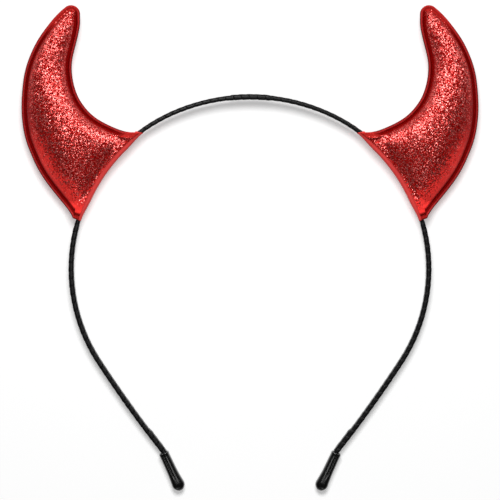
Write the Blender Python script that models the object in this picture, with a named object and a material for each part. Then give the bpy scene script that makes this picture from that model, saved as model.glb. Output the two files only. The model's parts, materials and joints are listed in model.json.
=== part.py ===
"""Devil horns headband: a ribbon-wound hairband with a padded red horn on each side.

It lies front up on a flat surface, as it would by itself: on the undersides of the horns and on
the two end caps. +Z is up, +X runs from the left horn to the right one, and +Y from the caps to
the tips of the horns. Each piece is drawn in the headband's own plane, out from its line of
symmetry and up towards the horns' tips, and one empty then lays all of them down. Sizes are in
millimetres until a mesh is made.
"""

import math

import bmesh
import bpy
import numpy as np
from mathutils import Matrix, Vector

MM = 0.001
GAP = 0.3  # between pieces that touch on the real thing
LYING_TILT = 2.2  # degrees, from the caps up to the thicker horns
SHARP_EDGE = 38.0  # degrees, past which an edge isn't shaded smooth
MERGE = 0.01  # points closer than this become one

CROWN_UP = 58.3
SIDE_LENGTH = 114.0
SIDE_TURN = 99.5
SIDE_RADIUS = SIDE_LENGTH / math.radians(SIDE_TURN)
BEND_LENGTH = 3.2
TIP_LENGTH = 8.0
# The band's centreline from the middle of the crown to the right tip, in arcs that run into each
# other: stretch, length, turn in degrees towards the head
BAND_PATH = (
    ("crown", 30.4, 23.6),
    ("side", SIDE_LENGTH, SIDE_TURN),
    ("leg", 42.3, 4.9),
    ("bend", BEND_LENGTH, -14.5),
    ("tip", TIP_LENGTH, 0.0),
)
TIP_END = sum(length for _, length, _ in BAND_PATH)
LEG_END = TIP_END - TIP_LENGTH - BEND_LENGTH
SIDES = (-1, 1)
SIDE_NAMES = {-1: "left", 1: "right"}

# Where the foot of a horn takes the band, along the centreline
FOOT_START = 45.2
FOOT_END = 87.5
FOOT_WALL = 1.0
FOOT_STEPS = 13
FOOT_HOLE_CORNER = 0.2
FOOT_SKIN_CORNER = 0.8
# How far each end of the foot leans along the band, for each millimetre out from the centreline
FOOT_START_SLANT = 1.35
FOOT_END_SLANT = -0.2
FOOT_SLANT_REACH = 8.0

BAND_WIDTH = 5.2
BAND_CORNER = 0.4
STRIP = 1.2  # the bare strip's thickness, in the feet of the horns
CAP_START = 0.8  # from the end of the leg to the mouth of the cap
# Distance from the middle of the crown, and thickness with the ribbon on
BAND_THICKNESS = (
    (0.0, 2.2),
    (7.2, 2.2),
    (8.2, 1.9),
    (28.0, 1.7),
    (FOOT_START - 3.8, 1.7),
    (FOOT_START - 3.2, STRIP),
    (FOOT_END + 0.4, STRIP),
    (FOOT_END + 1.0, 1.7),
    (112.0, 2.0),
    (LEG_END - 0.4, 2.1),
    (LEG_END + 0.4, 1.5),
    (TIP_END, 1.5),
)
BAND_TURN_STEP = 3.6  # degrees between sections
BAND_LONG_STEP = 9.0
BAND_SHORT_STEP = 0.3
HEAD_REST = 8.0  # length of the flat at the middle of the crown

# The end cap, from its mouth to its round end: along, half thickness, half width
CAP_SECTIONS = (
    (0.0, 1.8, 3.4),
    (0.8, 1.9, 3.5),
    (6.0, 2.05, 3.5),
    (12.2, 2.3, 3.5),
    (14.4, 2.15, 3.25),
    (15.7, 1.6, 2.5),
    (16.4, 0.7, 1.2),
)
CAP_SOCKET_DEPTH = BEND_LENGTH + TIP_LENGTH - CAP_START + GAP
# Its socket, from the bottom to the mouth
CAP_SOCKET = (
    (CAP_SOCKET_DEPTH, 1.15, 3.0),
    (2.4, 1.15, 3.0),
    (0.0, 1.4, 3.05),
)
CAP_CORNERS = 12
CAP_SQUARENESS = 2.8

# A horn's sections from its foot to its tip. Each is a line across the horn: its middle (out, up),
# the direction in degrees from its middle to the inner edge, half its length, and how far the
# padding rises from the middle plane
HORN_SECTIONS = (
    (57.1, 28.2, 123.9, 19.9, 3.9),
    (60.6, 30.8, 124.5, 18.1, 6.2),
    (68.9, 38.2, 132.6, 15.5, 8.9),
    (74.0, 45.3, 137.8, 13.8, 9.0),
    (76.6, 51.1, 141.3, 12.9, 8.8),
    (78.0, 58.1, 147.7, 11.7, 8.2),
    (78.1, 65.2, 158.4, 10.2, 7.3),
    (77.1, 72.0, 167.4, 9.2, 6.5),
    (74.4, 79.8, 173.8, 8.0, 5.4),
    (71.6, 85.5, 182.8, 6.1, 4.0),
    (68.8, 90.1, 205.5, 3.8, 2.4),
)
HORN_STEPS = 3  # stations for each section of the table
TIP_STEPS = 9
TIP_WEDGE = 25.0  # degrees between an edge and the horn's middle line, at the tip
FOOT_BOW_SECTIONS = 3.0  # the foot's curve fades out over so many sections
EDGE_PROBE = 0.05  # of a section either way, to find an edge's direction
MOST_SLACK = 1.7  # how much longer a width across a slanted edge gets, at the most

RIM_WIDTH = 1.1
RIM_TOP = 1.15
GROOVE_WIDTH = 1.3
GROOVE_TOP = 0.8
GROOVE_LOWEST = 0.4  # share of the groove's width
PAD_FOOT_TOP = 1.3
# Rings of the padding: share of the way from its foot to the middle line
PAD_RINGS = (0.1, 0.3, 0.6, 1.0)
PAD_ROUNDNESS = 2.1

# Name, colour, roughness, metallic
RIBBON = ("black_satin_ribbon", (0.022, 0.022, 0.024), 0.45, 0.0)
RUBBER = ("black_rubber", (0.012, 0.012, 0.013), 0.3, 0.0)
GLITTER = ("red_glitter_cloth", (0.56, 0.05, 0.05), 0.42, 0.35)
PLAIN_CLOTH = ("red_plain_cloth", (0.5, 0.015, 0.018), 0.6, 0.0)


def clear_scene():
    for thing in list(bpy.data.objects):
        bpy.data.objects.remove(thing, do_unlink=True)


def material(name, colour, roughness, metallic):
    made = bpy.data.materials.get(name)
    if made:
        return made
    made = bpy.data.materials.new(name)
    made.use_nodes = True
    shader = made.node_tree.nodes["Principled BSDF"]
    shader.inputs["Base Color"].default_value = (*colour, 1.0)
    shader.inputs["Roughness"].default_value = roughness
    shader.inputs["Metallic"].default_value = metallic
    made.diffuse_color = (*colour, 1.0)
    return made


def add_piece(name, bm, finish, collection, lying):
    """Makes an object of the closed body in bm, with its faces outwards, and lays it down."""
    bmesh.ops.recalc_face_normals(bm, faces=bm.faces)
    mesh = bpy.data.meshes.new(name)
    bm.to_mesh(mesh)
    bm.free()
    mesh.shade_smooth()
    mesh.set_sharp_from_angle(angle=math.radians(SHARP_EDGE))
    piece = bpy.data.objects.new(name, mesh)
    piece.data.materials.append(material(*finish))
    piece.parent = lying
    collection.objects.link(piece)
    return piece


def loft(rings, closed=False):
    """Joins each ring of points to the next. An open loft gets a face on each end."""
    bm = bmesh.new()
    rows = [[bm.verts.new(Vector(point) * MM) for point in ring] for ring in rings]
    pairs = list(zip(rows, rows[1:]))
    if closed:
        pairs.append((rows[-1], rows[0]))
    else:
        bm.faces.new(rows[0])
        bm.faces.new(rows[-1])
    for here, there in pairs:
        for k in range(len(here)):
            after = (k + 1) % len(here)
            bm.faces.new((here[k], here[after], there[after], there[k]))
    return bm


def smooth(table, row):
    """Reads the table's columns at a row number with a fraction, on natural cubic curves."""
    values = np.array(table, float)
    last = len(values) - 1
    bend = np.zeros_like(values)
    if last > 1:
        steps = 4 * np.eye(last - 1) + np.eye(last - 1, k=1) + np.eye(last - 1, k=-1)
        bend[1:-1] = np.linalg.solve(steps, 6 * (values[2:] - 2 * values[1:-1] + values[:-2]))
    start = min(int(row), last - 1)
    after = row - start
    before = 1 - after
    return (
        before * values[start]
        + after * values[start + 1]
        + (before**3 - before) * bend[start] / 6
        + (after**3 - after) * bend[start + 1] / 6
    )


def band_place(distance):
    """The centreline's point at a distance from the middle of the crown, less than zero on the
    left, with the outward normal and the direction towards the right tip."""
    left = abs(distance)
    out, up, heading = 0.0, CROWN_UP, 0.0
    for _, length, turn in BAND_PATH:
        step = min(left, length)
        after = heading + math.radians(turn) * step / length
        if turn:
            radius = length / math.radians(turn)
            out += radius * (math.sin(after) - math.sin(heading))
            up += radius * (math.cos(after) - math.cos(heading))
        else:
            out += step * math.cos(heading)
            up -= step * math.sin(heading)
        heading = after
        left -= step
    side = -1 if distance < 0 else 1
    point = np.array([side * out, up])
    normal = np.array([side * math.sin(heading), math.cos(heading)])
    onward = np.array([math.cos(heading), -side * math.sin(heading)])
    return point, normal, onward


def band_point(distance, outwards, height):
    point, normal, _ = band_place(distance)
    out, up = point + normal * outwards
    return out, up, height


def cut_rectangle(half_thick, half_wide, corner):
    """The corners of a rectangle with its corners cut off, as (outwards, height)."""
    flat_thick, flat_wide = half_thick - corner, half_wide - corner
    quarter = ((half_thick, flat_wide), (flat_thick, half_wide))
    upper = list(quarter) + [(-a, b) for a, b in reversed(quarter)]
    return upper + [(a, -b) for a, b in reversed(upper)]


def band_stations():
    """Distances of the band's sections from the middle of the crown, on the right."""
    found = {distance for distance, _ in BAND_THICKNESS[1:]}
    start = 0.0
    for _, length, turn in BAND_PATH:
        count = max(math.ceil(abs(turn) / BAND_TURN_STEP), math.ceil(length / BAND_LONG_STEP))
        found.update(start + length * k / count for k in range(1, count + 1))
        start += length
    kept = [HEAD_REST / 2]
    for distance in sorted(found):
        if distance > kept[-1] + BAND_SHORT_STEP:
            kept.append(distance)
    return kept


def add_band(collection, lying):
    right = band_stations()
    distances, thicknesses = zip(*BAND_THICKNESS)
    rings = []
    for distance in [-d for d in reversed(right)] + right:
        half_thick = np.interp(abs(distance), distances, thicknesses) / 2
        corner = min(BAND_CORNER, half_thick / 2)
        section = cut_rectangle(half_thick, BAND_WIDTH / 2, corner)
        rings.append([band_point(distance, *corner_point) for corner_point in section])
    return add_piece("band", loft(rings), RIBBON, collection, lying)


def foot_ring(side, share, half_thick, half_wide, corner):
    """One section of the foot, a share of the way from its upper end to its lower one."""
    along = FOOT_START + (FOOT_END - FOOT_START) * share
    at_start = max(0.0, 1 - (along - FOOT_START) / FOOT_SLANT_REACH)
    at_end = max(0.0, 1 - (FOOT_END - along) / FOOT_SLANT_REACH)
    slant = FOOT_START_SLANT * at_start + FOOT_END_SLANT * at_end
    return [
        band_point(side * (along + slant * outwards), outwards, height)
        for outwards, height in cut_rectangle(half_thick, half_wide, corner)
    ]


def add_foot(side, collection, lying):
    """The folded strip of cloth at the foot of a horn, a sleeve that the band passes through."""
    shares = [k / FOOT_STEPS for k in range(FOOT_STEPS + 1)]
    half_thick = STRIP / 2 + GAP
    half_wide = BAND_WIDTH / 2 + GAP
    hole = (half_thick, half_wide, FOOT_HOLE_CORNER)
    skin = (half_thick + FOOT_WALL, half_wide + FOOT_WALL, FOOT_SKIN_CORNER)
    rings = [foot_ring(side, share, *skin) for share in shares]
    rings += [foot_ring(side, share, *hole) for share in reversed(shares)]
    name = f"{SIDE_NAMES[side]}_horn_hem"
    return add_piece(name, loft(rings, closed=True), PLAIN_CLOTH, collection, lying)


def add_cap(side, collection, lying):
    """A rubber tip pushed over the band's end, with its mouth towards the leg."""
    bend_end, normal, onward = band_place(side * (LEG_END + BEND_LENGTH))
    towards_tip = onward * side
    mouth = bend_end - towards_tip * (BEND_LENGTH - CAP_START)
    rings = []
    for along, half_thick, half_wide in CAP_SOCKET + CAP_SECTIONS:
        ring = []
        for k in range(CAP_CORNERS):
            angle = 2 * math.pi * (k + 0.5) / CAP_CORNERS
            cosine, sine = math.cos(angle), math.sin(angle)
            reach = (abs(cosine) ** CAP_SQUARENESS + abs(sine) ** CAP_SQUARENESS) ** (
                -1 / CAP_SQUARENESS
            )
            out, up = mouth + towards_tip * along + normal * half_thick * cosine * reach
            ring.append((out, up, half_wide * sine * reach))
        rings.append(ring)
    return add_piece(f"{SIDE_NAMES[side]}_end_cap", loft(rings), RUBBER, collection, lying)


def lift_onto_caps(caps):
    """How far the tilted headband rises for its end caps to touch the floor, in millimetres."""
    tilt = math.radians(LYING_TILT)
    lowest = min(
        vertex.co.y * math.sin(tilt) + vertex.co.z * math.cos(tilt)
        for cap in caps
        for vertex in cap.data.vertices
    )
    return -lowest / MM


def across(row, share):
    """A point across the horn at a section number: share is 1 at the inner edge, 0 on the middle
    line and -1 at the outer edge. Near the foot the line bows as the band does."""
    out, up, lean, half, _ = smooth(HORN_SECTIONS, row)
    direction = np.array([math.cos(math.radians(lean)), math.sin(math.radians(lean))])
    onward = np.array([direction[1], -direction[0]])
    radius = SIDE_RADIUS + STRIP / 2 + GAP + FOOT_WALL + GAP
    bow = math.sqrt(radius**2 - (share * half) ** 2) - math.sqrt(radius**2 - half**2)
    fade = max(0.0, 1 - row / FOOT_BOW_SECTIONS) ** 2
    return np.array([out, up]) + direction * half * share + onward * bow * fade


def side_station(row, edge):
    """A station on the inner edge (1) or the outer one (-1): a function that gives the point at a
    depth from the edge, the depth of the middle line, the padding's rise there, and how much longer
    a width across the edge is when it is measured along the section."""
    last = len(HORN_SECTIONS) - 1
    _, _, _, half, crown = smooth(HORN_SECTIONS, row)
    ahead = across(min(row + EDGE_PROBE, last), edge) - across(max(row - EDGE_PROBE, 0), edge)
    inwards = across(row, 0) - across(row, edge)
    crossing = abs(ahead[0] * inwards[1] - ahead[1] * inwards[0])
    slack = np.linalg.norm(ahead) * np.linalg.norm(inwards) / crossing

    def place(depth):
        return across(row, edge * (1 - depth / half))

    return place, half, crown, min(slack, MOST_SLACK)


def tip_station(turned):
    """The same for a station on the round tip, turned in radians from its inner end."""
    out, up, lean, half, crown = HORN_SECTIONS[-1]
    wedge = math.radians(TIP_WEDGE)
    past = max(0.0, wedge - turned, turned - (math.pi - wedge))
    reach = half * math.cos(wedge) / math.cos(past)
    angle = math.radians(lean) - turned

    def place(depth):
        left = reach - depth
        return np.array([out + left * math.cos(angle), up + left * math.sin(angle)])

    return place, reach, crown, 1.0


def stations():
    """From the foot up the inner edge, round the tip and down the outer edge."""
    rows = [k / HORN_STEPS for k in range((len(HORN_SECTIONS) - 1) * HORN_STEPS + 1)]
    inner = [side_station(row, 1) for row in rows]
    tip = [tip_station(math.pi * k / TIP_STEPS) for k in range(1, TIP_STEPS)]
    outer = [side_station(row, -1) for row in reversed(rows)]
    return inner + tip + outer


def rib(place, length, crown, slack):
    """The top of the cloth from the edge to the middle line, as (out, up, height)."""
    pad_foot = (RIM_WIDTH + GROOVE_WIDTH) * slack
    found = [
        (0.0, RIM_TOP),
        (RIM_WIDTH * slack, RIM_TOP),
        ((RIM_WIDTH + GROOVE_WIDTH * GROOVE_LOWEST) * slack, GROOVE_TOP),
        (pad_foot, PAD_FOOT_TOP),
    ]
    for share in PAD_RINGS:
        rise = (1 - (1 - share) ** PAD_ROUNDNESS) ** (1 / PAD_ROUNDNESS)
        depth = pad_foot + (length - pad_foot) * share
        found.append((depth, PAD_FOOT_TOP + (crown - PAD_FOOT_TOP) * rise))
    return [(*place(depth), height) for depth, height in found]


def add_panel(side, front, lift, collection, lying):
    """Half of a horn's padding in its cloth: domed outside, flat on the horn's middle plane."""
    tilt = math.radians(LYING_TILT)
    bm = bmesh.new()
    ribs = []
    for station in stations():
        row = []
        for out, up, height in rib(*station):
            if not front:
                floor = -(lift + up * math.sin(tilt)) / math.cos(tilt)
                height = max(-height, floor)
            row.append(bm.verts.new(Vector((side * out, up, height)) * MM))
        ribs.append(row)
    for here, there in zip(ribs, ribs[1:]):
        for k in range(len(here) - 1):
            bm.faces.new((here[k], here[k + 1], there[k + 1], there[k]))
    bmesh.ops.remove_doubles(bm, verts=bm.verts, dist=MERGE * MM)
    open_edges = [edge for edge in bm.edges if edge.is_boundary]
    skirt = bmesh.ops.extrude_edge_only(bm, edges=open_edges)["geom"]
    plane = GAP / 2 * MM if front else -GAP / 2 * MM
    for thing in skirt:
        if isinstance(thing, bmesh.types.BMVert):
            thing.co.z = plane
    open_edges = [edge for edge in bm.edges if edge.is_boundary]
    bmesh.ops.holes_fill(bm, edges=open_edges, sides=len(open_edges))
    name = f"{SIDE_NAMES[side]}_horn_{'front' if front else 'back'}_panel"
    return add_piece(name, bm, GLITTER, collection, lying)


def lay_down(lying, pieces, lift):
    """Tilts and lifts the headband so that it rests on the floor, centred on the origin."""
    tilt = Matrix.Rotation(math.radians(LYING_TILT), 4, "X")
    places = [tilt @ vertex.co for piece in pieces for vertex in piece.data.vertices]
    middle_x = (min(p.x for p in places) + max(p.x for p in places)) / 2
    middle_y = (min(p.y for p in places) + max(p.y for p in places)) / 2
    lying.rotation_euler.x = math.radians(LYING_TILT)
    lying.location = (-middle_x, -middle_y, lift * MM)


def main():
    clear_scene()
    collection = bpy.data.collections.new("devil horns headband")
    bpy.context.scene.collection.children.link(collection)
    lying = bpy.data.objects.new("lying", None)
    collection.objects.link(lying)
    pieces = [add_cap(side, collection, lying) for side in SIDES]
    lift = lift_onto_caps(pieces)
    pieces.append(add_band(collection, lying))
    for side in SIDES:
        pieces.append(add_foot(side, collection, lying))
        pieces.append(add_panel(side, True, lift, collection, lying))
        pieces.append(add_panel(side, False, lift, collection, lying))
    lay_down(lying, pieces, lift)


main()
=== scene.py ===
"""Looks of the devil horns headband: ribbon-wound band, rubber tips and padded glitter horns.

Pieces are drawn in the headband's own plane: out to its right, up towards the horns' tips, and a
height above that plane, all in millimetres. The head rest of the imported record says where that
plane lies. Distances along the band are measured from the middle of the crown, less than zero on
the left.
"""

import json
import math
import random

import bmesh
import bpy
import numpy as np
from mathutils import Matrix, Vector


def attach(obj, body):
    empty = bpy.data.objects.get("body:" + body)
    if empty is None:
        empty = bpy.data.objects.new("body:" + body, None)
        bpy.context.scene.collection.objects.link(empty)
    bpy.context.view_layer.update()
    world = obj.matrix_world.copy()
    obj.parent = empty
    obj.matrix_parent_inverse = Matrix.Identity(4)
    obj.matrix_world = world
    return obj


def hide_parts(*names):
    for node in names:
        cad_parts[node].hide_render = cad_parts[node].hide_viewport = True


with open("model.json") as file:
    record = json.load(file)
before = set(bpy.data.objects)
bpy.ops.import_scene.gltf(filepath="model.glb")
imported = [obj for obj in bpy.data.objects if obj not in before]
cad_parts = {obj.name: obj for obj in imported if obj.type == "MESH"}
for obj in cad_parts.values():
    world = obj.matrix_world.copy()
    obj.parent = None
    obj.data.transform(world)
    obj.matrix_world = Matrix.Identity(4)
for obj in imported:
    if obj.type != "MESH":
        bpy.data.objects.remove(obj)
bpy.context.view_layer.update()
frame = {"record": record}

MM = 0.001
SIDES = {"left": -1, "right": 1}
BODY = "root"
SEED = 7
# Points that lie so near each other are merged, and edges so short are dissolved
MERGE_WITHIN = 0.002
DISSOLVE_WITHIN = 0.001
# The roundest that a section's corner gets, as a share of its half thickness
ROUNDEST_CORNER = 0.95

# The band's centreline from the middle of the crown, in arcs that run into each other: length, and
# turn in degrees
CROWN_UP = 58.3
LEG_ARCS = ((30.4, 23.6), (114.0, 99.5), (42.3, 4.9))
BEND_ARC = (3.2, -14.5)
TIP_ARC = (8.0, 0.0)
BAND_ARCS = (*LEG_ARCS, BEND_ARC, TIP_ARC)
LEG_END = sum(length for length, _ in LEG_ARCS)
TIP_END = LEG_END + BEND_ARC[0] + TIP_ARC[0]
BAND_SAMPLES = 800
# The head rest is a flat across the crown's inner side: how far along the band it reaches each way,
# and how far it lies inside the centreline there
HEAD_REST_HALF = 4.0
CROWN_HALF_THICK = 1.1

# The ribbon's windings
BAND_HALF_WIDE = 2.5
BAND_CORNER = 0.55
RIBBON_PITCH = 3.05
RIBBON_STEP = 0.13
RIBBON_WANDER = 0.16
# How proud each winding stands, as a share of the step, and where the step fades at the band's ends
RIBBON_PROUD = (0.75, 1.25)
RIBBON_END_FADE = 2.0
# Share of a turn, and share of the step that the ribbon stands proud there
RIBBON_PROFILE = ((0.0, 0.0), (0.012, 0.8), (0.05, 1.0), (0.3, 0.8), (0.62, 0.4), (0.96, 0.04))
# Distance from the middle of the crown, and half the thickness under the ribbon's step
BAND_HALF_THICK = (
    (0.0, 1.0), (7.3, 1.0), (7.7, 0.86), (28.0, 0.78), (87.5, 0.8), (90.5, 0.94), (176.0, 0.92),
    (LEG_END - 1.0, 0.84), (LEG_END + 1.5, 0.7), (TIP_END, 0.6),
)
# The ribbon's end is turned back on the band's inner side: where that starts and stops, how thick it
# is, and how far round the corners it reaches
DOUBLED_STARTS = (177.0, 177.5)
DOUBLED_STOPS = (LEG_END + 0.5, LEG_END + 1.5)
DOUBLED_STEP = 0.35
DOUBLED_ROUND = 1.5
BAND_ENDS_IN_CAP = 6.0

# The foot of a horn, along the band
FOOT_START = 45.2
FOOT_END = 87.2
HEM_WALL = 0.38
HEM_OUTER = 1.25
HEM_INNER_ENDS = 1.0
HEM_INNER_MIDDLE = 1.85
HEM_INNER_RISE = 9.0
HEM_HALF_HIGH = 3.15
HEM_CORNER = 0.85
HEM_START_SLANT = 0.8
HEM_END_SLANT = -0.2
HEM_SLANT_REACH = 8.0
HEM_STEPS = 110
# Points round a corner, along a short side and along a long side
HEM_SECTION_POINTS = (5, 2, 8)

# A horn's sections from its foot to its tip. Each is a line across the horn: its middle (out, up),
# the direction in degrees from its middle to the inner edge, half its length, and how far the
# padding rises from the middle plane
HORN_SECTIONS = (
    (57.1, 28.2, 123.9, 19.9, 4.6),
    (60.6, 30.8, 124.5, 18.1, 6.5),
    (68.9, 38.2, 132.6, 15.5, 8.9),
    (74.0, 45.3, 137.8, 13.8, 9.0),
    (76.6, 51.1, 141.3, 12.9, 8.8),
    (78.0, 58.1, 147.7, 11.7, 8.2),
    (78.1, 65.2, 158.4, 10.2, 7.3),
    (77.1, 72.0, 167.4, 9.2, 6.5),
    (74.4, 79.8, 173.8, 8.0, 5.4),
    (71.6, 85.5, 182.8, 6.1, 4.0),
    (68.8, 90.1, 205.5, 3.8, 2.4),
)
# The foot's sections bow as the band does, with this radius, and less and less up to this section
FOOT_RADIUS = 67.75
FOOT_BOW_SECTIONS = 3.0
# Stations between two sections, from the first section down to the band, and round the tip
HORN_STEPS = 18
BASE_STEPS = 6
TIP_STEPS = 30
# Degrees by which the edges lean inwards past the last section, before the tip's round starts
TIP_WEDGE = 25.0
# Where the horn's foot ends, outwards from the band's centreline
BASE_OFFSET = -0.1
# How far behind and ahead of a station the edge's direction is taken from, in sections
EDGE_LOOK = 0.05
# Across the edge: millimetres from the edge, and height above the middle plane
RIM_PROFILE = (
    (0.0, 0.05), (0.0, 0.5), (0.08, 0.72), (0.25, 0.88), (0.5, 0.95), (0.75, 0.88), (0.95, 0.66),
    (1.1, 0.42), (1.25, 0.25), (1.45, 0.14), (1.65, 0.22), (1.85, 0.46), (2.0, 0.8),
)
RIM_TOP = (0.5, 0.95)
# How far below the rim's top the cloth lies where the seam isn't pressed
UNPRESSED_DROP = 0.12
# The padding: how far from the edge it starts, how high it is there, its rings up to the crest, how
# much they crowd near its start, and how round its section is
PAD_FOOT = 2.0
PAD_FOOT_TOP = 0.8
PAD_RINGS = 26
PAD_RINGS_CROWD = 0.5
PAD_ROUNDNESS = 1.9
# How far the padding's crest lies towards the inner edge, as a share of the half, for each section
CREST_SHIFT = (0.05, 0.2, 0.34, 0.38, 0.33, 0.16, 0.0, -0.12, -0.18, -0.1, 0.0)
# How much the padding's rise loses from the first section down to the band
FOOT_SLOPE = 1.8
# How thick the cloth is, and how low its inside comes
CLOTH_WALL = 0.4
CLOTH_INSIDE_LOWEST = 0.05
# The seam is hardly pressed round the tip's outer side, from these sections and from this turn in
# radians, nor along the inner edge's last stretch
SEAM_FADES_AT_TIP = (8.3, 9.4)
SEAM_FADES_ROUND_TIP = (0.5, 1.4)
SEAM_LEFT_AT_TIP = 0.35
SEAM_FADES_AT_FOOT = (0.9, 0.0)
# Where the seam's colours, with the painted shade in its groove, start and are all there, in
# millimetres from the band's middle line
SEAM_FROM_BAND = (1.2, 3.2)
# The most that a section's slant makes a width across the edge longer
MOST_SLACK = 1.7
# The section number, and where the flakes start and are all there, in millimetres from the edge
INNER_FLAKES = ((0.0, 1.5, 2.8), (3.0, 1.7, 2.9), (10.0, 1.7, 2.9))
OUTER_FLAKES = (
    (0.0, 2.6, 11.0), (2.0, 2.4, 10.0), (4.0, 2.1, 7.0), (6.0, 1.8, 3.4), (10.0, 1.2, 2.6),
)
# The same from the band's middle line
FOOT_FLAKES = (-0.8, 0.9)
# Sections between which the outer edge's cloth is painted a lighter red, painted light from below, the
# depths over which that comes in, and how much of it shows where the seam isn't pressed
PAINTED_LIGHT_SECTIONS = (5.0, 2.0)
PAINTED_LIGHT_DEPTHS = (2.1, 3.0)
UNPRESSED_PAINTED_LIGHT = 0.35
# Little creases that run inwards from the seam: how far apart, how high, and how far in they reach
CREASE_PITCH = 1.5
CREASE_HEIGHT = 0.2
CREASE_REACH = (4.0, 10.0)
CREASE_DEPTHS = (1.9, 3.0)
# How far a crease strays from its place, as a share of the pitch, and how far its sides are eased
CREASE_WANDER = 0.35
CREASE_EASING = 0.3
# Over the band the cloth lies on the hem, and comes down to the middle plane between these offsets
FLAP_RISE = 3.0
FLAP_FROM = 1.5
FLAP_TO = 7.5
FLAP_BLEND = 0.9
# Across the edge, where the padding's own shape takes over from the rim's, over the band
FLAP_PAD_FROM = (1.8, 3.2)
# The offsets between which the cloth's inside comes down behind the hem
HEM_CLEARED = (1.45, 2.0)

# The end cap, from its mouth to its round end: along, half thickness, half width, and how far its
# middle lies outside the band's line there
CAP_OUTSIDE = (
    (0.0, 1.6, 3.16, 0.44), (0.1, 1.8, 3.3, 0.44), (0.45, 1.92, 3.38, 0.43), (0.9, 1.88, 3.34, 0.42),
    (1.3, 1.86, 3.3, 0.41), (3.0, 1.9, 3.3, 0.36), (6.0, 1.95, 3.34, 0.3), (8.5, 2.02, 3.38, 0.24),
    (11.0, 2.2, 3.4, 0.17), (12.6, 2.36, 3.4, 0.12), (13.5, 2.44, 3.36, 0.1), (14.3, 2.28, 3.2, 0.07),
    (15.0, 1.86, 2.9, 0.05), (15.6, 1.26, 2.3, 0.03), (15.95, 0.7, 1.4, 0.0), (16.08, 0.02, 0.05, 0.0),
)
CAP_INSIDE = (
    (11.0, 0.02, 0.05, 0.2), (11.0, 1.1, 2.9, 0.2), (2.4, 1.15, 2.95, 0.4), (0.35, 1.3, 3.0, 0.43),
    (0.05, 1.4, 3.08, 0.44),
)
# The mould's line along the cap: how far out, how deep and how wide it is, and where it starts and
# ends
CAP_GROOVE = (0.3, 0.14, 0.27)
CAP_GROOVE_STARTS = (0.2, 0.8)
CAP_GROOVE_ENDS = (7.0, 12.0)
CAP_START = 0.8
CAP_COLUMNS = 96
CAP_RINGS_BETWEEN = 4
CAP_SQUARENESS = 3.8

FLOOR_CLEARANCE = 0.02
PHOTO_WIDTH = 192.5
PHOTO_MIDDLE_UP = -0.674
CAMERA_LENS = 250.0
CAMERA_SENSOR = 36.0
CAMERA_FOCUS_HEIGHT = 9.0
CAMERA_SEES_TO = 10.0

# Noise on a surface: its scale for a metre, its detail, and the bump's strength and height in metres
RIBBON_GRAIN = (5200.0, 2.0, 0.35, 0.00003)
RUBBER_GRAIN = (1400.0, 3.0, 0.03, 0.0001)
CLOTH_GRAIN = (2600.0, 3.0, 0.4, 0.0001)
RIBBON_BLACK = (0.0025, 0.0025, 0.0027)
RIBBON_ROUGHNESS = 0.3
RIBBON_GLOSS = 0.09
RUBBER_BLACK = (0.002, 0.002, 0.002)
RUBBER_ROUGHNESS = 0.2
RUBBER_GLOSS = 0.33
CLOTH_RED = (0.42, 0.033, 0.03)
CLOTH_ROUGHNESS = 0.55
CLOTH_GLOSS = 0.15
CLOTH_GLOSS_TINT = (1.0, 0.3, 0.3)
GLITTER_RED = (0.45, 0.02, 0.02)
FLAKE_SIZE = 0.3
# How far a flake's facing strays, and the bare cloth's, and how much of the cloth a flake hides
FLAKE_TILT = 0.42
CLOTH_TILT = 0.12
FLAKE_OPACITY = 0.96
# How far from a flake's middle, in flakes, the cloth starts to show and shows all
FLAKE_GAP = (0.4, 0.75)
FLAKE_GAP_SHADE = 0.6
# Colours of the flakes, from the darkest to the few that glint
FLAKE_COLOURS = (
    (0.0, (0.06, 0.0003, 0.0003)),
    (0.3, (0.19, 0.001, 0.001)),
    (0.6, (0.38, 0.005, 0.004)),
    (0.68, (0.72, 0.07, 0.063)),
    (1.0, (1.0, 0.3, 0.275)),
)
# Which flakes are bare metal, from the share of them that is red lacquer, and how metallic both are
METAL_FROM = (0.56, 0.7)
METAL = (0.2, 1.0)
# Millimetres from the horn's edge, and the colour that the cloth has there under its flakes: the
# cut edge, the pressed rim, the groove and the padding. The dark cut edge and the near black groove
# are partly the cloth's own colour and partly painted shade, and the rim's lighter red is partly a
# painted highlight.
EDGE_COLOURS_AND_PAINTED_LIGHT = (
    (0.0, (0.04, 0.0005, 0.0005)),
    (0.3, (0.12, 0.003, 0.003)),
    (0.5, (0.31, 0.017, 0.017)),
    (0.9, (0.31, 0.017, 0.017)),
    (1.1, (0.14, 0.0, 0.0)),
    (2.1, (0.14, 0.0, 0.0)),
    (2.7, (0.19, 0.002, 0.002)),
)
SMOOTH_RED = (0.17, 0.005, 0.004)
# Painted light: the lighter red painted on the outer edge's lower stretch and on the unpressed seam
PAINTED_LIGHT_RED = (0.58, 0.026, 0.022)
GLITTER_GLOSS = 0.2
RED_GLOSS_TINT = (1.0, 0.12, 0.1)
SMOOTH_ROUGHNESS = 0.6
FLAKE_ROUGHNESS = 0.38
EDGE_REACH = 3.0

FLOOR_REACH = 3.0
FLOOR_WHITE = (0.9, 0.9, 0.9)
FLOOR_ROUGHNESS = 0.9
FLOOR_GLOSS = 0.1
FLOOR_GLOW = 0.4
WORLD_LIGHT = 0.04
# Lights above: name, lean in degrees from straight above, direction in degrees from +Y, distance,
# size and power
HIGH_LIGHTS = (
    ("key", 17.0, 0.0, 1.0, 0.3, 6.4),
    ("overhead", 4.4, 180.0, 2.0, 0.3, 2.4),
)
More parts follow.
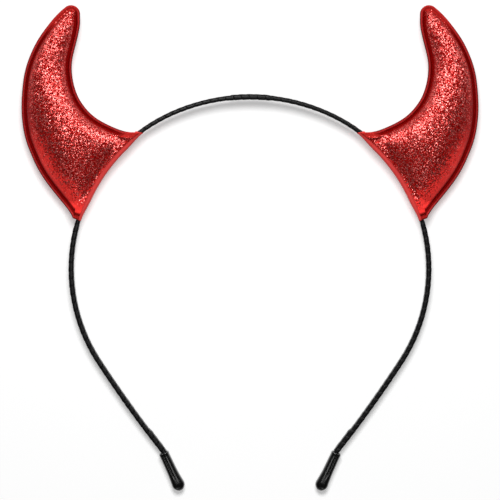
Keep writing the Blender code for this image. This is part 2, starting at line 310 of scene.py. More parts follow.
# Lights that stand low round the headband: name, direction in degrees from +Y, power, and the side
# whose horn the light leaves out, because each horn is lit more from across the headband
LOW_LIGHTS = (
    ("upper_left", -45.0, 7.6, None),
    ("upper_right", 45.0, 7.6, None),
    ("across_from_left", -45.0, 6.0, "left"),
    ("across_from_right", 45.0, 6.0, "right"),
    ("lower", 180.0, 1.3, None),
)
LOW_LEAN = 63.0
LOW_DISTANCE = 1.08
LOW_SIZE = 0.5


def plane_of_headband():
    """The matrix that lays the headband's own plane, in millimetres, into the frame."""
    rest = frame["record"]["mounts"][0]
    point, normal, _ = band_place(HEAD_REST_HALF)
    rest_up = point[1] - normal[1] * CROWN_HALF_THICK
    up_way = -Vector(rest["axis"])
    out_way = Vector((1.0, 0.0, 0.0))
    high_way = out_way.cross(up_way)
    origin = Vector(rest["pos_m"]) - up_way * rest_up * MM
    turned = Matrix((out_way, up_way, high_way)).transposed().to_4x4()
    return Matrix.Translation(origin) @ turned @ Matrix.Scale(MM, 4)


def band_place(distance):
    """The centreline's point at a distance, with the outward normal and the way to the right tip."""
    left = abs(distance)
    out, up, heading = 0.0, CROWN_UP, 0.0
    for length, turn in BAND_ARCS:
        step = min(left, length)
        after = heading + math.radians(turn) * step / length
        if turn:
            radius = length / math.radians(turn)
            out += radius * (math.sin(after) - math.sin(heading))
            up += radius * (math.cos(after) - math.cos(heading))
        else:
            out += step * math.cos(heading)
            up -= step * math.sin(heading)
        heading = after
        left -= step
    side = -1 if distance < 0 else 1
    point = np.array([side * out, up])
    normal = np.array([side * math.sin(heading), math.cos(heading)])
    onward = np.array([math.cos(heading), -side * math.sin(heading)])
    return point, normal, onward


def offset_from_band(points):
    """How far each (out, up) point lies outside the band's centreline, on the right."""
    distances = np.linspace(0.0, LEG_END, BAND_SAMPLES)
    places = [band_place(distance) for distance in distances]
    line = np.array([place[0] for place in places])
    normals = np.array([place[1] for place in places])
    found = []
    for point in points:
        nearest = np.argmin(((line - point) ** 2).sum(1))
        found.append((point - line[nearest]) @ normals[nearest])
    return np.array(found)


def smoothstep(low, high, value):
    share = np.clip((value - low) / (high - low), 0.0, 1.0)
    return share * share * (3 - 2 * share)


def smooth_highest(first, second, blend):
    """The higher of two heights, rounded where they lie less than the blend apart."""
    share = np.clip(0.5 + 0.5 * (first - second) / blend, 0.0, 1.0)
    return second + (first - second) * share + blend * share * (1 - share)


def smooth(table, row):
    """Reads the table's columns at a row number with a fraction, on natural cubic curves."""
    values = np.array(table, float)
    last = len(values) - 1
    bend = np.zeros_like(values)
    if last > 1:
        steps = 4 * np.eye(last - 1) + np.eye(last - 1, k=1) + np.eye(last - 1, k=-1)
        bend[1:-1] = np.linalg.solve(steps, 6 * (values[2:] - 2 * values[1:-1] + values[:-2]))
    start = min(int(row), last - 1)
    after = row - start
    before = 1 - after
    return (
        before * values[start]
        + after * values[start + 1]
        + (before**3 - before) * bend[start] / 6
        + (after**3 - after) * bend[start + 1] / 6
    )


def finish_piece(name, points, faces, finish, replaced, colour_facts=None):
    """Makes a closed piece of points in the headband's plane, hangs it on the body and hides the CAD
    parts that it replaces.
    """
    places = [PLANE @ Vector(point) for point in points]
    mesh = bpy.data.meshes.new(name)
    mesh.from_pydata(places, [], faces)
    for fact, values in (colour_facts or {}).items():
        layer = mesh.attributes.new(fact, "FLOAT", "POINT")
        layer.data.foreach_set("value", np.array(values, np.float32))
    mesh.materials.append(finish)
    piece = bpy.data.objects.new(name, mesh)
    bpy.context.scene.collection.objects.link(piece)
    tidy_mesh(piece)
    mesh.shade_smooth()
    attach(piece, BODY)
    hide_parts(*replaced)
    return piece


def tidy_mesh(piece):
    """Merges doubled points, fills what is open, and turns the faces outwards."""
    bm = bmesh.new()
    bm.from_mesh(piece.data)
    bmesh.ops.remove_doubles(bm, verts=bm.verts, dist=MERGE_WITHIN * MM)
    bmesh.ops.dissolve_degenerate(bm, edges=bm.edges, dist=DISSOLVE_WITHIN * MM)
    open_edges = [edge for edge in bm.edges if edge.is_boundary]
    if open_edges:
        bmesh.ops.holes_fill(bm, edges=open_edges, sides=len(open_edges))
    bmesh.ops.recalc_face_normals(bm, faces=bm.faces)
    bm.to_mesh(piece.data)
    bm.free()


def rounded_section(half_thick, half_wide, corner, arc_points=4, short_points=2, long_points=5):
    """Points round a rectangle with round corners, as (outwards, height), and each one's share of
    the way round."""
    corner = min(corner, half_thick * ROUNDEST_CORNER, half_wide * ROUNDEST_CORNER)
    centres = (
        (half_thick - corner, half_wide - corner),
        (-half_thick + corner, half_wide - corner),
        (-half_thick + corner, -half_wide + corner),
        (half_thick - corner, -half_wide + corner),
    )
    between = (short_points, long_points, short_points, long_points)
    points = []
    for quarter, (thick, wide) in enumerate(centres):
        for k in range(arc_points):
            angle = math.radians(90 * quarter + 90 * k / (arc_points - 1))
            points.append((thick + corner * math.cos(angle), wide + corner * math.sin(angle)))
        last = points[-1]
        angle = math.radians(90 * (quarter + 1))
        thick, wide = centres[(quarter + 1) % 4]
        ahead = (thick + corner * math.cos(angle), wide + corner * math.sin(angle))
        for k in range(1, between[quarter] + 1):
            share = k / (between[quarter] + 1)
            points.append(tuple(a + (b - a) * share for a, b in zip(last, ahead)))
    points = np.array(points)
    steps = np.linalg.norm(np.roll(points, -1, 0) - points, axis=1)
    return points, np.concatenate(([0.0], np.cumsum(steps)[:-1])) / steps.sum()


def band_point(distance, column, step):
    """A point on the wound strip: one of its section's points, raised by the ribbon's step, and by
    the ribbon's end where that is turned back on the inner side."""
    knots, halves = zip(*BAND_HALF_THICK)
    half_thick = np.interp(abs(distance), knots, halves)
    section, _ = rounded_section(half_thick, BAND_HALF_WIDE, BAND_CORNER)
    outwards, high = section[column]
    length = math.hypot(outwards / half_thick, high / BAND_HALF_WIDE)
    outwards += step * outwards / half_thick / length
    high += step * high / BAND_HALF_WIDE / length
    if outwards < 0:
        doubled = DOUBLED_STEP * float(smoothstep(*DOUBLED_STARTS, abs(distance)))
        doubled *= 1 - float(smoothstep(*DOUBLED_STOPS, abs(distance)))
        outwards -= doubled * min(1.0, -outwards / half_thick * DOUBLED_ROUND)
    point, normal, _ = band_place(distance)
    return (*(point + normal * outwards), high)


def add_band():
    """A strip wound with ribbon: rows run along the winding, so each turn's edge is a real step."""
    chance = random.Random(SEED)
    end = LEG_END + BAND_ENDS_IN_CAP
    turns = math.ceil(2 * end / RIBBON_PITCH) + 2
    wander = [chance.uniform(-RIBBON_WANDER, RIBBON_WANDER) for _ in range(turns + 3)]
    proud = [chance.uniform(*RIBBON_PROUD) for _ in range(turns + 3)]
    _, crown_half = BAND_HALF_THICK[0]
    _, shares = rounded_section(crown_half, BAND_HALF_WIDE, BAND_CORNER)
    columns = len(shares)
    points = []
    for turn in range(-1, turns):
        for share_of_turn, height in RIBBON_PROFILE:
            for column in range(columns):
                along = turn + share_of_turn + shares[column]
                whole = math.floor(along)
                part = along - whole
                shift = (1 - part) * wander[whole + 1] + part * wander[whole + 2]
                lift = (1 - part) * proud[whole + 1] + part * proud[whole + 2]
                distance = min(max(-end + RIBBON_PITCH * along + shift, -end), end)
                fade = smoothstep(0.0, RIBBON_END_FADE, end - abs(distance))
                points.append(band_point(distance, column, RIBBON_STEP * lift * height * fade))
    rows = len(points) // columns
    per_turn = len(RIBBON_PROFILE)
    faces = []
    for row in range(rows - 1):
        for column in range(columns):
            if column + 1 < columns:
                here, there = row * columns + column + 1, (row + 1) * columns + column + 1
            elif row + per_turn + 1 < rows:
                here, there = (row + per_turn) * columns, (row + per_turn + 1) * columns
            else:
                continue
            faces.append((row * columns + column, here, there, (row + 1) * columns + column))
    return finish_piece("ribbon_wound_band", points, faces, RIBBON, ["band"])


def across(row, share):
    """A point across the horn at a section number: share is 1 at the inner edge, 0 on the middle
    line and -1 at the outer edge. Near the foot the line bows as the band does."""
    if row < 0:
        start = across(0.0, share)
        along = FOOT_END + (FOOT_START - FOOT_END) * (share + 1) / 2
        point, normal, _ = band_place(along)
        end = point + normal * BASE_OFFSET
        return start + (end - start) * -row
    out, up, lean, half, _ = smooth(HORN_SECTIONS, row)
    direction = np.array([math.cos(math.radians(lean)), math.sin(math.radians(lean))])
    onward = np.array([direction[1], -direction[0]])
    bow = math.sqrt(FOOT_RADIUS**2 - (share * half) ** 2) - math.sqrt(FOOT_RADIUS**2 - half**2)
    fade = 1 - smoothstep(0.0, FOOT_BOW_SECTIONS, row)
    return np.array([out, up]) + direction * half * share + onward * bow * fade


def side_station(row, edge):
    """A station on the inner edge (1) or the outer one (-1): a function that gives the point at a
    depth from the edge, the depth of the crest, the padding's rise there, how much longer a width
    across the edge is when it is measured along the section, and the seam and flakes there."""
    last = len(HORN_SECTIONS) - 1
    _, _, _, half, crown = smooth(HORN_SECTIONS, max(row, 0.0))
    if row < 0:
        crown += FOOT_SLOPE * row
    ahead = across(min(row + EDGE_LOOK, last), edge) - across(max(row - EDGE_LOOK, -1), edge)
    inwards = across(row, 0) - across(row, edge)
    crossing = abs(ahead[0] * inwards[1] - ahead[1] * inwards[0])
    slack = np.linalg.norm(ahead) * np.linalg.norm(inwards) / crossing

    def place(depth):
        return across(row, edge * (1 - depth / half))

    shift = float(np.interp(row, range(last + 1), CREST_SHIFT))
    facts = (seam_press(row, edge), *flakes_from(row, edge))
    return place, half * (1 - edge * shift), crown, min(slack, MOST_SLACK), facts


def seam_press(row, edge):
    """How deep the seam is pressed: 1 for the whole groove, 0 where it fades away."""
    if edge > 0:
        return float(smoothstep(SEAM_FADES_AT_FOOT[1], SEAM_FADES_AT_FOOT[0], row))
    return 1 - (1 - SEAM_LEFT_AT_TIP) * float(smoothstep(*SEAM_FADES_AT_TIP, row))


def flakes_from(row, edge):
    """How far from the edge the flakes start, how far in they are all there, and how much painted
    light, a lighter red, shows on the cloth between."""
    rows, starts, ends = zip(*(INNER_FLAKES if edge > 0 else OUTER_FLAKES))
    bare = float(1 - smoothstep(PAINTED_LIGHT_SECTIONS[1], PAINTED_LIGHT_SECTIONS[0], row)) if edge < 0 else 0.0
    return float(np.interp(row, rows, starts)), float(np.interp(row, rows, ends)), bare


def tip_station(turned):
    """The same for a station on the round tip, turned in radians from its inner end."""
    out, up, lean, half, crown = HORN_SECTIONS[-1]
    wedge = math.radians(TIP_WEDGE)
    past = max(0.0, wedge - turned, turned - (math.pi - wedge))
    reach = half * math.cos(wedge) / math.cos(past)
    angle = math.radians(lean) - turned

    def place(depth):
        left = reach - depth
        return np.array([out + left * math.cos(angle), up + left * math.sin(angle)])

    pressed = 1 - (1 - SEAM_LEFT_AT_TIP) * float(smoothstep(*SEAM_FADES_ROUND_TIP, turned))
    return place, reach, crown, 1.0, (pressed, *flakes_from(len(HORN_SECTIONS) - 1, -1))


def stations():
    """From the foot up the inner edge, round the tip and down the outer edge."""
    last = len(HORN_SECTIONS) - 1
    rows = [-1 + k / BASE_STEPS for k in range(BASE_STEPS)]
    rows += [k / HORN_STEPS for k in range(last * HORN_STEPS + 1)]
    inner = [side_station(row, 1) for row in rows]
    tip = [tip_station(math.pi * k / TIP_STEPS) for k in range(1, TIP_STEPS)]
    outer = [side_station(row, -1) for row in reversed(rows)]
    return inner + tip + outer


def rib(place, length, crown, slack, facts):
    """The outside of the cloth from the edge to the crest: (out, up), height, depth, how far the
    seam is pressed, how much of the cloth the flakes cover and how much painted light it shows."""
    pressed, flakes_start, flakes_full, bare = facts
    found = []
    for depth, height in RIM_PROFILE:
        if depth > RIM_TOP[0]:
            height += (1 - pressed) * (max(height, RIM_TOP[1] - UNPRESSED_DROP) - height)
        found.append((depth * slack, height))
    foot = PAD_FOOT * slack
    for k in range(1, PAD_RINGS + 1):
        share = 1 - math.cos(math.pi / 2 * k / PAD_RINGS)
        share = PAD_RINGS_CROWD * share + (1 - PAD_RINGS_CROWD) * k / PAD_RINGS
        rise = (1 - (1 - share) ** PAD_ROUNDNESS) ** (1 / PAD_ROUNDNESS)
        found.append((foot + (length - foot) * share, PAD_FOOT_TOP + (crown - PAD_FOOT_TOP) * rise))
    made = []
    for depth, height in found:
        covered = float(smoothstep(flakes_start, flakes_full, depth / slack))
        # Painted light: a lighter red on the outer edge's lower stretch and where the seam isn't
        # pressed
        painted_light = bare * float(smoothstep(*PAINTED_LIGHT_DEPTHS, depth / slack))
        painted_light = max(painted_light, UNPRESSED_PAINTED_LIGHT * (1 - pressed))
        made.append((place(depth), height, depth / slack, pressed, covered, painted_light))
    return made


def creases(flat, depths, per_rib):
    """How far the cloth stands higher or lower for the creases along the seam."""
    edge = flat.reshape(-1, per_rib, 2)[:, 0]
    steps = np.linalg.norm(np.diff(edge, axis=0), axis=1)
    along = np.concatenate(([0.0], np.cumsum(steps)))
    chance = np.random.default_rng(SEED)
    knots = np.arange(-CREASE_PITCH, along[-1] + 2 * CREASE_PITCH, CREASE_PITCH)
    knots += chance.uniform(-CREASE_WANDER, CREASE_WANDER, len(knots)) * CREASE_PITCH
    heights = chance.uniform(-1.0, 1.0, len(knots))
    reaches = chance.uniform(*CREASE_REACH, len(knots))
    shifts = (-CREASE_EASING, 0.0, CREASE_EASING)
    height = sum(np.interp(along + shift, knots, heights) for shift in shifts) / len(shifts)
    reach = np.interp(along, knots, reaches)[:, None]
    depth = depths.reshape(-1, per_rib)
    fade = smoothstep(*CREASE_DEPTHS, depth) * (1 - smoothstep(CREASE_DEPTHS[1], reach, depth))
    return (CREASE_HEIGHT * height[:, None] * fade).reshape(-1)


def horn_surface():
    """The outside of the right horn's front half: points (out, up), heights, offsets from the band,
    what the cloth's material reads at each point, and how many points each rib has."""
    columns = zip(*(point for station in stations() for point in rib(*station)))
    flat, heights, depths, pressed, covered, painted_light = (np.array(column) for column in columns)
    offsets = offset_from_band(flat)
    near_band = 1 - smoothstep(FLAP_FROM, FLAP_TO, offsets)
    knots, tops = zip(*RIM_PROFILE[1:])
    relief = np.interp(depths, knots[:-1], tops[:-1])
    on_hem = smooth_highest(heights, near_band * FLAP_RISE + relief, FLAP_BLEND)
    lifted = heights + near_band * FLAP_RISE
    on_hem = lifted + (on_hem - lifted) * smoothstep(*FLAP_PAD_FROM, depths)
    heights = np.where(near_band > 0, on_hem, heights)
    per_rib = len(RIM_PROFILE) + PAD_RINGS
    heights = heights + creases(flat, depths, per_rib) * pressed
    facts = {
        "edge_mm": depths,
        "seam": pressed * smoothstep(*SEAM_FROM_BAND, offsets),
        "flakes": covered * smoothstep(*FOOT_FLAKES, offsets),
        # The share of painted light, a lighter red, at each point
        "painted_light": painted_light,
    }
    return flat, heights, offsets, facts, per_rib


def add_panel(name, side, front, surface, replaced):
    """Half of a horn's padding in its glitter cloth, closed along the horn's middle plane."""
    flat, heights, offsets, facts, per_rib = surface
    over_hem = 1 - smoothstep(*HEM_CLEARED, offsets)
    inside = np.maximum(CLOTH_INSIDE_LOWEST, (heights - CLOTH_WALL) * over_hem)
    outer = heights.copy()
    if not front:
        outer, inside = -outer, -inside
        floors = np.array([floor_height(up) for up in flat[:, 1]])
        outer = np.maximum(outer, floors)
    points = [(side * p[0], p[1], h) for p, h in zip(flat, outer)]
    points += [(side * p[0], p[1], h) for p, h in zip(flat, inside)]
    ribs = len(flat) // per_rib
    below = len(flat)
    faces = []
    for station in range(ribs - 1):
        for k in range(per_rib - 1):
            corner = station * per_rib + k
            quad = (corner, corner + 1, corner + per_rib + 1, corner + per_rib)
            faces.append(quad)
            faces.append(tuple(below + n for n in reversed(quad)))
        rim = station * per_rib
        faces.append((rim, rim + per_rib, below + rim + per_rib, below + rim))
    for first in (0, (ribs - 1) * per_rib):
        for k in range(per_rib - 1):
            corner = first + k
            faces.append((corner, corner + 1, below + corner + 1, below + corner))
    face_facts = {fact: list(values) * 2 for fact, values in facts.items()}
    piece = finish_piece(name, points, faces, GLITTER, [replaced], face_facts)
    return piece


def floor_height(up):
    """The floor's height in the headband's own plane, at a place up it."""
    origin = PLANE.translation
    up_way = PLANE.to_3x3() @ Vector((0.0, 1.0, 0.0))
    high_way = PLANE.to_3x3() @ Vector((0.0, 0.0, 1.0))
    return (FLOOR_CLEARANCE * MM - origin.z - up_way.z * up) / high_way.z


def hem_section(side, share):
    """The sleeve's outer and inner rings round the band, a share of the way along the foot."""
    along = FOOT_START + (FOOT_END - FOOT_START) * share
    from_end = min(along - FOOT_START, FOOT_END - along)
    rise = float(smoothstep(0.0, HEM_INNER_RISE, from_end))
    inner = HEM_INNER_ENDS + (HEM_INNER_MIDDLE - HEM_INNER_ENDS) * rise
    middle = (HEM_OUTER - inner) / 2
    half_thick = (HEM_OUTER + inner) / 2
    at_start = max(0.0, 1 - (along - FOOT_START) / HEM_SLANT_REACH)
    at_end = max(0.0, 1 - (FOOT_END - along) / HEM_SLANT_REACH)
    slant = HEM_START_SLANT * at_start + HEM_END_SLANT * at_end
    rings = []
    for wall in (0.0, HEM_WALL):
        size = (half_thick - wall, HEM_HALF_HIGH - wall, HEM_CORNER - wall)
        section, _ = rounded_section(*size, *HEM_SECTION_POINTS)
        ring = []
        for outwards, high in section:
            outwards += middle
            point, normal, _ = band_place(side * (along + slant * outwards))
            ring.append((*(point + normal * outwards), high))
        rings.append(ring)
    return rings


def add_hem(name, side, replaced):
    """The folded strip of plain cloth at the foot of a horn, round the band."""
    outside, inside = [], []
    for step in range(HEM_STEPS + 1):
        outer, inner = hem_section(side, step / HEM_STEPS)
        outside.append(outer)
        inside.append(inner)
    rings = outside + inside[::-1]
    count = len(rings[0])
    points = [point for ring in rings for point in ring]
    faces = []
    for row in range(len(rings)):
        ahead = (row + 1) % len(rings)
        for k in range(count):
            after = (k + 1) % count
            faces.append(
                (row * count + k, row * count + after, ahead * count + after, ahead * count + k)
            )
    return finish_piece(name, points, faces, PLAIN_CLOTH, [replaced])


def cap_groove(along, outwards):
    """How deep the mould's line is pressed into the cap's plain round there."""
    place, deep, wide = CAP_GROOVE
    fade = float(smoothstep(*CAP_GROOVE_STARTS, along) * (1 - smoothstep(*CAP_GROOVE_ENDS, along)))
    return deep * fade * math.exp(-(((outwards - place) / wide) ** 2))


def add_cap(name, side, replaced):
    """A rubber tip pushed over the band's end, with its open mouth towards the leg."""
    bend, _ = BEND_ARC
    start, normal, onward = band_place(side * (LEG_END + bend))
    tipward = onward * side
    mouth = start - tipward * (bend - CAP_START)
    inside = list(CAP_INSIDE)
    outside = [CAP_OUTSIDE[0]]
    for k in range(1, CAP_RINGS_BETWEEN * (len(CAP_OUTSIDE) - 1) + 1):
        outside.append(smooth(CAP_OUTSIDE, k / CAP_RINGS_BETWEEN))
    rings = []
    for row, (along, half_thick, half_wide, middle) in enumerate(inside + outside):
        ring = []
        for k in range(CAP_COLUMNS):
            angle = 2 * math.pi * (k + 0.5) / CAP_COLUMNS
            cosine, sine = math.cos(angle), math.sin(angle)
            reach = abs(cosine) ** CAP_SQUARENESS + abs(sine) ** CAP_SQUARENESS
            reach **= -1 / CAP_SQUARENESS
            outwards = half_thick * cosine * reach
            high = half_wide * sine * reach
            if row >= len(inside):
                high -= math.copysign(cap_groove(along, outwards) * sine**2, sine)
            out, up = mouth + tipward * along + normal * (middle + outwards)
            ring.append((out, up, high))
        rings.append(ring)
    points = [point for ring in rings for point in ring]
    faces = []
    for row in range(len(rings) - 1):
        for k in range(CAP_COLUMNS):
            after = (k + 1) % CAP_COLUMNS
            first, second = row * CAP_COLUMNS, (row + 1) * CAP_COLUMNS
            faces.append((first + k, first + after, second + after, second + k))
    return finish_piece(name, points, faces, RUBBER, [replaced])


def new_material(name, colour, roughness):
    made = bpy.data.materials.new(name)
    made.use_nodes = True
    shader = made.node_tree.nodes["Principled BSDF"]
    shader.inputs["Base Color"].default_value = (*colour, 1.0)
    shader.inputs["Roughness"].default_value = roughness
    made.diffuse_color = (*colour, 1.0)
    return made, made.node_tree.nodes, made.node_tree.links, shader


def add_grain(nodes, links, shader, scale, detail, strength, height):
    """Gives a surface its fine grain, as a bump of noise."""
    place = nodes.new("ShaderNodeTexCoord")
    noise = nodes.new("ShaderNodeTexNoise")
    noise.inputs["Scale"].default_value = scale
    noise.inputs["Detail"].default_value = detail
    links.new(place.outputs["Object"], noise.inputs["Vector"])
    bump = nodes.new("ShaderNodeBump")
    bump.inputs["Strength"].default_value = strength
    bump.inputs["Distance"].default_value = height
    links.new(noise.outputs["Fac"], bump.inputs["Height"])
    links.new(bump.outputs["Normal"], shader.inputs["Normal"])


def ribbon_material():
    made, nodes, links, shader = new_material("black_satin_ribbon", RIBBON_BLACK, RIBBON_ROUGHNESS)
    shader.inputs["Specular IOR Level"].default_value = RIBBON_GLOSS
    add_grain(nodes, links, shader, *RIBBON_GRAIN)
    return made


def rubber_material():
    made, nodes, links, shader = new_material("black_rubber", RUBBER_BLACK, RUBBER_ROUGHNESS)
    shader.inputs["Specular IOR Level"].default_value = RUBBER_GLOSS
    add_grain(nodes, links, shader, *RUBBER_GRAIN)
    return made


def plain_cloth_material():
    made, nodes, links, shader = new_material("red_plain_cloth", CLOTH_RED, CLOTH_ROUGHNESS)
    shader.inputs["Specular IOR Level"].default_value = CLOTH_GLOSS
    shader.inputs["Specular Tint"].default_value = (*CLOTH_GLOSS_TINT, 1.0)
    add_grain(nodes, links, shader, *CLOTH_GRAIN)
    return made


def colour_ramp(nodes, stops):
    ramp = nodes.new("ShaderNodeValToRGB")
    elements = ramp.color_ramp.elements
    while len(elements) < len(stops):
        elements.new(0.5)
    for element, (position, colour) in zip(elements, stops):
        element.position = position
        element.color = (*colour, 1.0)
    return ramp


def map_range(nodes, links, source, low, high, to_low, to_high):
    node = nodes.new("ShaderNodeMapRange")
    for name, value in (("From Min", low), ("From Max", high), ("To Min", to_low), ("To Max", to_high)):
        node.inputs[name].default_value = value
    links.new(source, node.inputs["Value"])
    return node.outputs["Result"]


def attribute(nodes, name):
    node = nodes.new("ShaderNodeAttribute")
    node.attribute_name = name
    return node.outputs["Fac"]


def multiply(nodes, links, first, second):
    node = nodes.new("ShaderNodeMath")
    node.operation = "MULTIPLY"
    links.new(first, node.inputs[0])
    links.new(second, node.inputs[1])
    return node.outputs["Value"]


def mix_colours(nodes, links, share, first, second):
    """Mixes two colours, each one a socket or plain numbers."""
    node = nodes.new("ShaderNodeMix")
    node.data_type = "RGBA"
    links.new(share, node.inputs["Factor"])
    for name, colour in (("A", first), ("B", second)):
        if isinstance(colour, tuple):
            node.inputs[name].default_value = (*colour, 1.0)
        else:
            links.new(colour, node.inputs[name])
    return node.outputs["Result"]


def scale_vector(nodes, links, vector, scale):
    node = nodes.new("ShaderNodeVectorMath")
    node.operation = "SCALE"
    links.new(vector, node.inputs[0])
    links.new(scale, node.inputs["Scale"])
    return node.outputs["Vector"]


def cloth_under_flakes_and_painted_light(nodes, links):
    """The glitter cloth's colour under its flakes: its edge and seam, with painted shade at the cut
    edge and in the groove and a painted highlight on the rim, and painted light where the outer
    edge is painted a lighter red.
    """
    edge = attribute(nodes, "edge_mm")
    near = map_range(nodes, links, edge, 0.0, EDGE_REACH, 0.0, 1.0)
    # Painted shade at the cut edge and in the groove, and a painted highlight on the rim, over the
    # cloth's own reds
    under = colour_ramp(nodes, [(mm / EDGE_REACH, colour) for mm, colour in EDGE_COLOURS_AND_PAINTED_LIGHT])
    links.new(near, under.inputs["Fac"])
    cloth = mix_colours(nodes, links, attribute(nodes, "seam"), SMOOTH_RED, under.outputs["Color"])
    # Painted light: the lighter red on the outer edge's lower stretch and on the unpressed seam
    return mix_colours(nodes, links, attribute(nodes, "painted_light"), cloth, PAINTED_LIGHT_RED)


def flakes_strewn(nodes, links, flakes):
    """1 on the flakes that lie on the cloth there and 0 elsewhere: each flake has its own chance."""
    parts = nodes.new("ShaderNodeSeparateColor")
    links.new(flakes.outputs["Color"], parts.inputs["Color"])
    chosen = nodes.new("ShaderNodeMath")
    chosen.operation = "GREATER_THAN"
    links.new(attribute(nodes, "flakes"), chosen.inputs[0])
    links.new(parts.outputs["Blue"], chosen.inputs[1])
    return chosen.outputs["Value"]


def tilted_normal(nodes, links, stray, tilt):
    """The surface's facing, turned a little: stray is a colour, whose middle grey turns nothing."""
    centred = nodes.new("ShaderNodeVectorMath")
    centred.operation = "SUBTRACT"
    centred.inputs[1].default_value = (0.5, 0.5, 0.5)
    links.new(stray, centred.inputs[0])
    surface = nodes.new("ShaderNodeNewGeometry")
    added = nodes.new("ShaderNodeVectorMath")
    added.operation = "ADD"
    links.new(surface.outputs["Normal"], added.inputs[0])
    links.new(scale_vector(nodes, links, centred.outputs["Vector"], tilt), added.inputs[1])
    facing = nodes.new("ShaderNodeVectorMath")
    facing.operation = "NORMALIZE"
    links.new(added.outputs["Vector"], facing.inputs[0])
    return facing.outputs["Vector"]


def glitter_material():
    """Cloth strewn with red flakes, each with its own shade and its own tilt."""
    made, nodes, links, shader = new_material("red_glitter_cloth", GLITTER_RED, FLAKE_ROUGHNESS)
    shader.inputs["Specular IOR Level"].default_value = GLITTER_GLOSS
    shader.inputs["Specular Tint"].default_value = (*RED_GLOSS_TINT, 1.0)
    place = nodes.new("ShaderNodeTexCoord")
    flakes = nodes.new("ShaderNodeTexVoronoi")
    flakes.inputs["Scale"].default_value = 1 / (FLAKE_SIZE * MM)
    links.new(place.outputs["Object"], flakes.inputs["Vector"])
    strewn = flakes_strewn(nodes, links, flakes)
    chance = nodes.new("ShaderNodeTexWhiteNoise")
    links.new(flakes.outputs["Color"], chance.inputs["Vector"])

    flake_colour = colour_ramp(nodes, FLAKE_COLOURS)
    links.new(chance.outputs["Value"], flake_colour.inputs["Fac"])
    shown = map_range(nodes, links, strewn, 0.0, 1.0, 0.0, FLAKE_OPACITY)
    cloth = cloth_under_flakes_and_painted_light(nodes, links)
    colour = mix_colours(nodes, links, shown, cloth, flake_colour.outputs["Color"])
    gap = map_range(nodes, links, flakes.outputs["Distance"], *FLAKE_GAP, 0.0, 1.0)
    gap_shown = multiply(nodes, links, gap, strewn)
    shade = map_range(nodes, links, gap_shown, 0.0, 1.0, 1.0, FLAKE_GAP_SHADE)
    links.new(scale_vector(nodes, links, colour, shade), shader.inputs["Base Color"])

    bare = map_range(nodes, links, chance.outputs["Value"], *METAL_FROM, *METAL)
    links.new(multiply(nodes, links, bare, strewn), shader.inputs["Metallic"])
    roughness = map_range(nodes, links, strewn, 0.0, 1.0, SMOOTH_ROUGHNESS, FLAKE_ROUGHNESS)
    links.new(roughness, shader.inputs["Roughness"])
    tilt = map_range(nodes, links, strewn, 0.0, 1.0, CLOTH_TILT, FLAKE_TILT)
    links.new(tilted_normal(nodes, links, flakes.outputs["Color"], tilt), shader.inputs["Normal"])
    return made


def add_floor():
    mesh = bpy.data.meshes.new("floor")
    ways = ((-1, -1), (1, -1), (1, 1), (-1, 1))
    mesh.from_pydata([(x * FLOOR_REACH, y * FLOOR_REACH, 0.0) for x, y in ways], [], [(0, 1, 2, 3)])
    made, _, _, shader = new_material("white_floor", FLOOR_WHITE, FLOOR_ROUGHNESS)
    shader.inputs["Specular IOR Level"].default_value = FLOOR_GLOSS
    shader.inputs["Emission Color"].default_value = (1.0, 1.0, 1.0, 1.0)
    shader.inputs["Emission Strength"].default_value = FLOOR_GLOW
    mesh.materials.append(made)
    floor = bpy.data.objects.new("floor", mesh)
    bpy.context.scene.collection.objects.link(floor)
    return floor


def add_area_light(name, lean, turned, distance, size, power):
    """A soft round light, leaning so many degrees from straight above, turned from +Y."""
    light = bpy.data.lights.new(name, "AREA")
    light.shape = "DISK"
    light.size = size
    light.energy = power
    lamp = bpy.data.objects.new(name, light)
    lean, turned = math.radians(lean), math.radians(turned)
    way = Vector((math.sin(lean) * math.sin(turned), math.sin(lean) * math.cos(turned), math.cos(lean)))
    lamp.location = way * distance
    lamp.rotation_euler = way.to_track_quat("Z", "Y").to_euler()
    bpy.context.scene.collection.objects.link(lamp)
    return lamp


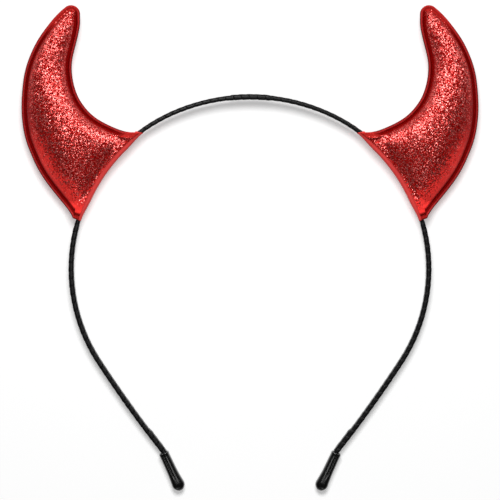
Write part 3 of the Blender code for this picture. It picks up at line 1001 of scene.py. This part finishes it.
def leave_out(light, things):
    """Makes a light shine past some things."""
    unlit = bpy.data.collections.new(f"{light.name}_leaves_out")
    for thing in things:
        unlit.objects.link(thing)
    for entry in unlit.collection_objects:
        entry.light_linking.link_state = "EXCLUDE"
    light.light_linking.receiver_collection = unlit


def add_lights(floor, horns):
    for light in HIGH_LIGHTS:
        add_area_light(*light)
    # The floor is burnt out in the photograph and shows no long shadows
    for name, turned, power, unlit_side in LOW_LIGHTS:
        light = add_area_light(name, LOW_LEAN, turned, LOW_DISTANCE, LOW_SIZE, power)
        leave_out(light, [floor, *horns.get(unlit_side, [])])
    world = bpy.data.worlds.new("studio")
    world.use_nodes = True
    background = world.node_tree.nodes["Background"]
    background.inputs["Color"].default_value = (1.0, 1.0, 1.0, 1.0)
    background.inputs["Strength"].default_value = WORLD_LIGHT
    bpy.context.scene.world = world


def add_camera():
    """Straight above, as the photograph is taken, from far enough to flatten the view."""
    camera = bpy.data.cameras.new("camera")
    camera.lens = CAMERA_LENS
    camera.sensor_width = CAMERA_SENSOR
    camera.clip_end = CAMERA_SEES_TO
    holder = bpy.data.objects.new("camera", camera)
    aim = PLANE @ Vector((0.0, PHOTO_MIDDLE_UP, 0.0))
    distance = PHOTO_WIDTH * MM * CAMERA_LENS / CAMERA_SENSOR
    holder.location = (0.0, aim.y, CAMERA_FOCUS_HEIGHT * MM + distance)
    bpy.context.scene.collection.objects.link(holder)
    bpy.context.scene.camera = holder


PLANE = plane_of_headband()
RIBBON = ribbon_material()
RUBBER = rubber_material()
PLAIN_CLOTH = plain_cloth_material()
GLITTER = glitter_material()

add_camera()
add_band()
SURFACE = horn_surface()
horns = {}
for side_name, side in SIDES.items():
    horn = f"{side_name}_horn"
    add_cap(f"{side_name}_rubber_tip", side, f"{side_name}_end_cap")
    add_hem(f"{horn}_foot_sleeve", side, f"{horn}_hem")
    horns[side_name] = [
        add_panel(f"{horn}_front_padding", side, True, SURFACE, f"{horn}_front_panel"),
        add_panel(f"{horn}_back_padding", side, False, SURFACE, f"{horn}_back_panel"),
    ]
add_lights(add_floor(), horns)

bpy.context.scene.view_settings.view_transform = "Standard"
bpy.context.scene.view_settings.look = "None"
